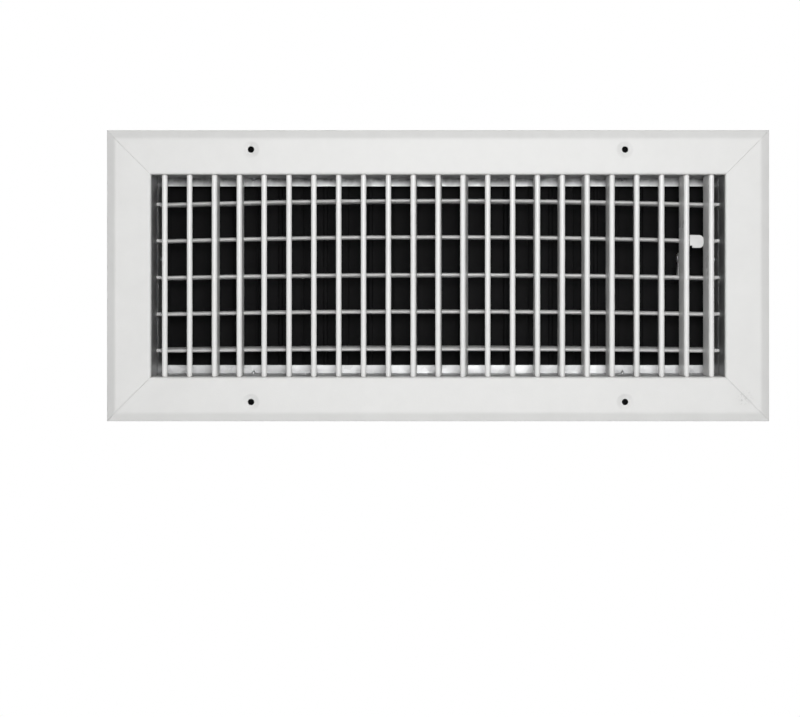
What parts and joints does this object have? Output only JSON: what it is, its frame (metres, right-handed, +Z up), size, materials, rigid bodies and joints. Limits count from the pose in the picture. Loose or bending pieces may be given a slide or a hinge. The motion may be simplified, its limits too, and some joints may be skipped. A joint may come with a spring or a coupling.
{
  "type": "ceiling register",
  "caption": "Double deflection supply air register with a mitred white frame, upright and level adjustable blades and a lever-operated multi-blade damper.",
  "frame": {"origin": "centre of the four screw holes, in the plane of the frame's front face", "axes": "+X along the long side to the right, +Z up, -Y out of the face towards the room"},
  "size_m": [0.4508, 0.0855, 0.1982],
  "materials": {
    "frame_paint": "satin",
    "blade_paint": "satin",
    "lever_paint": "satin",
    "strip_nylon": "matte",
    "key_steel": "satin",
    "galvanised": "satin",
    "rivet_aluminium": "satin",
    "damper_black": "matte"
  },
  "bodies": {
    "frame": {"frame_rail_top": "frame_paint", "frame_rail_bottom": "frame_paint", "frame_rail_left": "frame_paint", "frame_rail_right": "frame_paint", "corner_keys": "key_steel", "front_pivot_strip_top": "strip_nylon", "front_pivot_strip_bottom": "strip_nylon", "rear_pivot_strip_left": "strip_nylon", "rear_pivot_strip_right": "strip_nylon", "damper_channel_top": "galvanised", "damper_channel_bottom": "galvanised", "damper_end_left": "galvanised", "damper_end_right": "galvanised", "damper_rivets": "rivet_aluminium", "damper_screws": "galvanised", "lever_hanger": "damper_black", "lever_pivot_rivet": "rivet_aluminium"},
    "front_blade_01": {"front_blade_01": "blade_paint"},
    "front_blade_02": {"front_blade_02": "blade_paint"},
    "front_blade_03": {"front_blade_03": "blade_paint"},
    "front_blade_04": {"front_blade_04": "blade_paint"},
    "front_blade_05": {"front_blade_05": "blade_paint"},
    "front_blade_06": {"front_blade_06": "blade_paint"},
    "front_blade_07": {"front_blade_07": "blade_paint"},
    "front_blade_08": {"front_blade_08": "blade_paint"},
    "front_blade_09": {"front_blade_09": "blade_paint"},
    "front_blade_10": {"front_blade_10": "blade_paint"},
    "front_blade_11": {"front_blade_11": "blade_paint"},
    "front_blade_12": {"front_blade_12": "blade_paint"},
    "front_blade_13": {"front_blade_13": "blade_paint"},
    "front_blade_14": {"front_blade_14": "blade_paint"},
    "front_blade_15": {"front_blade_15": "blade_paint"},
    "front_blade_16": {"front_blade_16": "blade_paint"},
    "front_blade_17": {"front_blade_17": "blade_paint"},
    "front_blade_18": {"front_blade_18": "blade_paint"},
    "front_blade_19": {"front_blade_19": "blade_paint"},
    "front_blade_20": {"front_blade_20": "blade_paint"},
    "front_blade_21": {"front_blade_21": "blade_paint"},
    "front_blade_22": {"front_blade_22": "blade_paint"},
    "front_blade_23": {"front_blade_23": "blade_paint"},
    "rear_blade_1": {"rear_blade_1": "blade_paint"},
    "rear_blade_2": {"rear_blade_2": "blade_paint"},
    "rear_blade_3": {"rear_blade_3": "blade_paint"},
    "rear_blade_4": {"rear_blade_4": "blade_paint"},
    "rear_blade_5": {"rear_blade_5": "blade_paint"},
    "damper_lever": {"damper_lever": "lever_paint"},
    "damper_blade_01": {"damper_blade_01": "damper_black"},
    "damper_blade_02": {"damper_blade_02": "damper_black"},
    "damper_blade_03": {"damper_blade_03": "damper_black"},
    "damper_blade_04": {"damper_blade_04": "damper_black"},
    "damper_blade_05": {"damper_blade_05": "damper_black"},
    "damper_blade_06": {"damper_blade_06": "damper_black"},
    "damper_blade_07": {"damper_blade_07": "damper_black"},
    "damper_blade_08": {"damper_blade_08": "damper_black"},
    "damper_blade_09": {"damper_blade_09": "damper_black"},
    "damper_blade_10": {"damper_blade_10": "damper_black"},
    "damper_blade_11": {"damper_blade_11": "damper_black"},
    "damper_blade_12": {"damper_blade_12": "damper_black"},
    "link_bar": {"link_bar": "damper_black", "link_rivets": "rivet_aluminium"}
  },
  "joints": [
    {"name": "front_blade_01_turn", "type": "hinge", "parent": "frame", "child": "front_blade_01", "pos_m": [-0.18626, 0.00438, 0], "axis": [0, 0, 1], "range_deg": [-53, 21]},
    {"name": "front_blade_02_turn", "type": "hinge", "parent": "frame", "child": "front_blade_02", "pos_m": [-0.16933, 0.00438, 0], "axis": [0, 0, 1], "range_deg": [-53, 37]},
    {"name": "front_blade_03_turn", "type": "hinge", "parent": "frame", "child": "front_blade_03", "pos_m": [-0.1524, 0.00438, 0], "axis": [0, 0, 1], "range_deg": [-42.5, 47.5]},
    {"name": "front_blade_04_turn", "type": "hinge", "parent": "frame", "child": "front_blade_04", "pos_m": [-0.13546, 0.00438, 0], "axis": [0, 0, 1], "range_deg": [-42.7, 47.3]},
    {"name": "front_blade_05_turn", "type": "hinge", "parent": "frame", "child": "front_blade_05", "pos_m": [-0.11853, 0.00438, 0], "axis": [0, 0, 1], "range_deg": [-49, 41]},
    {"name": "front_blade_06_turn", "type": "hinge", "parent": "frame", "child": "front_blade_06", "pos_m": [-0.1016, 0.00438, 0], "axis": [0, 0, 1], "range_deg": [-48, 42]},
    {"name": "front_blade_07_turn", "type": "hinge", "parent": "frame", "child": "front_blade_07", "pos_m": [-0.08467, 0.00438, 0], "axis": [0, 0, 1], "range_deg": [-47, 43]},
    {"name": "front_blade_08_turn", "type": "hinge", "parent": "frame", "child": "front_blade_08", "pos_m": [-0.06773, 0.00438, 0], "axis": [0, 0, 1], "range_deg": [-46.5, 43.5]},
    {"name": "front_blade_09_turn", "type": "hinge", "parent": "frame", "child": "front_blade_09", "pos_m": [-0.0508, 0.00438, 0], "axis": [0, 0, 1], "range_deg": [-45, 45]},
    {"name": "front_blade_10_turn", "type": "hinge", "parent": "frame", "child": "front_blade_10", "pos_m": [-0.03387, 0.00438, 0], "axis": [0, 0, 1], "range_deg": [-44, 46]},
    {"name": "front_blade_11_turn", "type": "hinge", "parent": "frame", "child": "front_blade_11", "pos_m": [-0.01693, 0.00438, 0], "axis": [0, 0, 1], "range_deg": [-38.7, 51.3]},
    {"name": "front_blade_12_turn", "type": "hinge", "parent": "frame", "child": "front_blade_12", "pos_m": [0, 0.00438, 0], "axis": [0, 0, 1], "range_deg": [-37.8, 52.2]},
    {"name": "front_blade_13_turn", "type": "hinge", "parent": "frame", "child": "front_blade_13", "pos_m": [0.01693, 0.00438, 0], "axis": [0, 0, 1], "range_deg": [-33.7, 56.3]},
    {"name": "front_blade_14_turn", "type": "hinge", "parent": "frame", "child": "front_blade_14", "pos_m": [0.03387, 0.00438, 0], "axis": [0, 0, 1], "range_deg": [-45, 45]},
    {"name": "front_blade_15_turn", "type": "hinge", "parent": "frame", "child": "front_blade_15", "pos_m": [0.0508, 0.00438, 0], "axis": [0, 0, 1], "range_deg": [-44, 46]},
    {"name": "front_blade_16_turn", "type": "hinge", "parent": "frame", "child": "front_blade_16", "pos_m": [0.06773, 0.00438, 0], "axis": [0, 0, 1], "range_deg": [-49.8, 40.2]},
    {"name": "front_blade_17_turn", "type": "hinge", "parent": "frame", "child": "front_blade_17", "pos_m": [0.08467, 0.00438, 0], "axis": [0, 0, 1], "range_deg": [-50, 40]},
    {"name": "front_blade_18_turn", "type": "hinge", "parent": "frame", "child": "front_blade_18", "pos_m": [0.1016, 0.00438, 0], "axis": [0, 0, 1], "range_deg": [-51.4, 38.6]},
    {"name": "front_blade_19_turn", "type": "hinge", "parent": "frame", "child": "front_blade_19", "pos_m": [0.11853, 0.00438, 0], "axis": [0, 0, 1], "range_deg": [-51.7, 38.3]},
    {"name": "front_blade_20_turn", "type": "hinge", "parent": "frame", "child": "front_blade_20", "pos_m": [0.13546, 0.00438, 0], "axis": [0, 0, 1], "range_deg": [-45, 45]},
    {"name": "front_blade_21_turn", "type": "hinge", "parent": "frame", "child": "front_blade_21", "pos_m": [0.1524, 0.00438, 0], "axis": [0, 0, 1], "range_deg": [-44.1, 45.9]},
    {"name": "front_blade_22_turn", "type": "hinge", "parent": "frame", "child": "front_blade_22", "pos_m": [0.16933, 0.00438, 0], "axis": [0, 0, 1], "range_deg": [-12.2, 38.1]},
    {"name": "front_blade_23_turn", "type": "hinge", "parent": "frame", "child": "front_blade_23", "pos_m": [0.18626, 0.00438, 0], "axis": [0, 0, 1], "range_deg": [-36.7, 37.3]},
    {"name": "rear_blade_1_turn", "type": "hinge", "parent": "frame", "child": "rear_blade_1", "pos_m": [0, 0.02587, 0.0496], "axis": [1, 0, 0], "range_deg": [-45, 45]},
    {"name": "rear_blade_2_turn", "type": "hinge", "parent": "frame", "child": "rear_blade_2", "pos_m": [0, 0.02587, 0.0242], "axis": [1, 0, 0], "range_deg": [-22, 45]},
    {"name": "rear_blade_3_turn", "type": "hinge", "parent": "frame", "child": "rear_blade_3", "pos_m": [0, 0.02587, -0.0012], "axis": [1, 0, 0], "range_deg": [-45, 22]},
    {"name": "rear_blade_4_turn", "type": "hinge", "parent": "frame", "child": "rear_blade_4", "pos_m": [0, 0.02587, -0.0266], "axis": [1, 0, 0], "range_deg": [-45, 45]},
    {"name": "rear_blade_5_turn", "type": "hinge", "parent": "frame", "child": "rear_blade_5", "pos_m": [0, 0.02587, -0.052], "axis": [1, 0, 0], "range_deg": [-45, 45]},
    {"name": "lever_swing", "type": "hinge", "parent": "frame", "child": "damper_lever", "pos_m": [0.17216, 0.058, 0.0125], "axis": [1, 0, 0], "range_deg": [0, 26]},
    {"name": "damper_blade_01_turn", "type": "hinge", "parent": "frame", "child": "damper_blade_01", "pos_m": [-0.1782, 0.0655, 0], "axis": [0, 0, 1], "range_deg": [-80, 0]},
    {"name": "damper_blade_02_turn", "type": "hinge", "parent": "frame", "child": "damper_blade_02", "pos_m": [-0.1458, 0.0655, 0], "axis": [0, 0, 1], "range_deg": [-80, 0]},
    {"name": "damper_blade_03_turn", "type": "hinge", "parent": "frame", "child": "damper_blade_03", "pos_m": [-0.1134, 0.0655, 0], "axis": [0, 0, 1], "range_deg": [-80, 0]},
    {"name": "damper_blade_04_turn", "type": "hinge", "parent": "frame", "child": "damper_blade_04", "pos_m": [-0.081, 0.0655, 0], "axis": [0, 0, 1], "range_deg": [-80, 0]},
    {"name": "damper_blade_05_turn", "type": "hinge", "parent": "frame", "child": "damper_blade_05", "pos_m": [-0.0486, 0.0655, 0], "axis": [0, 0, 1], "range_deg": [-80, 0]},
    {"name": "damper_blade_06_turn", "type": "hinge", "parent": "frame", "child": "damper_blade_06", "pos_m": [-0.0162, 0.0655, 0], "axis": [0, 0, 1], "range_deg": [-80, 0]},
    {"name": "damper_blade_07_turn", "type": "hinge", "parent": "frame", "child": "damper_blade_07", "pos_m": [0.0162, 0.0655, 0], "axis": [0, 0, 1], "range_deg": [-80, 0]},
    {"name": "damper_blade_08_turn", "type": "hinge", "parent": "frame", "child": "damper_blade_08", "pos_m": [0.0486, 0.0655, 0], "axis": [0, 0, 1], "range_deg": [-80, 0]},
    {"name": "damper_blade_09_turn", "type": "hinge", "parent": "frame", "child": "damper_blade_09", "pos_m": [0.081, 0.0655, 0], "axis": [0, 0, 1], "range_deg": [-80, 0]},
    {"name": "damper_blade_10_turn", "type": "hinge", "parent": "frame", "child": "damper_blade_10", "pos_m": [0.1134, 0.0655, 0], "axis": [0, 0, 1], "range_deg": [-80, 0]},
    {"name": "damper_blade_11_turn", "type": "hinge", "parent": "frame", "child": "damper_blade_11", "pos_m": [0.1458, 0.0655, 0], "axis": [0, 0, 1], "range_deg": [-80, 0]},
    {"name": "damper_blade_12_turn", "type": "hinge", "parent": "frame", "child": "damper_blade_12", "pos_m": [0.1782, 0.0655, 0], "axis": [0, 0, 1], "range_deg": [-80, 0]},
    {"name": "link_turn", "type": "hinge", "parent": "damper_blade_12", "child": "link_bar", "pos_m": [0.18982, 0.05968, -0.0686], "axis": [0, 0, 1], "range_deg": [0, 80]}
  ],
  "couplings": [
    {"joint": "damper_blade_01_turn", "follows": "lever_swing", "ratio": -3.0769},
    {"joint": "damper_blade_02_turn", "follows": "lever_swing", "ratio": -3.0769},
    {"joint": "damper_blade_03_turn", "follows": "lever_swing", "ratio": -3.0769},
    {"joint": "damper_blade_04_turn", "follows": "lever_swing", "ratio": -3.0769},
    {"joint": "damper_blade_05_turn", "follows": "lever_swing", "ratio": -3.0769},
    {"joint": "damper_blade_06_turn", "follows": "lever_swing", "ratio": -3.0769},
    {"joint": "damper_blade_07_turn", "follows": "lever_swing", "ratio": -3.0769},
    {"joint": "damper_blade_08_turn", "follows": "lever_swing", "ratio": -3.0769},
    {"joint": "damper_blade_09_turn", "follows": "lever_swing", "ratio": -3.0769},
    {"joint": "damper_blade_10_turn", "follows": "lever_swing", "ratio": -3.0769},
    {"joint": "damper_blade_11_turn", "follows": "lever_swing", "ratio": -3.0769},
    {"joint": "damper_blade_12_turn", "follows": "lever_swing", "ratio": -3.0769},
    {"joint": "link_turn", "follows": "lever_swing", "ratio": 3.0769}
  ]
}
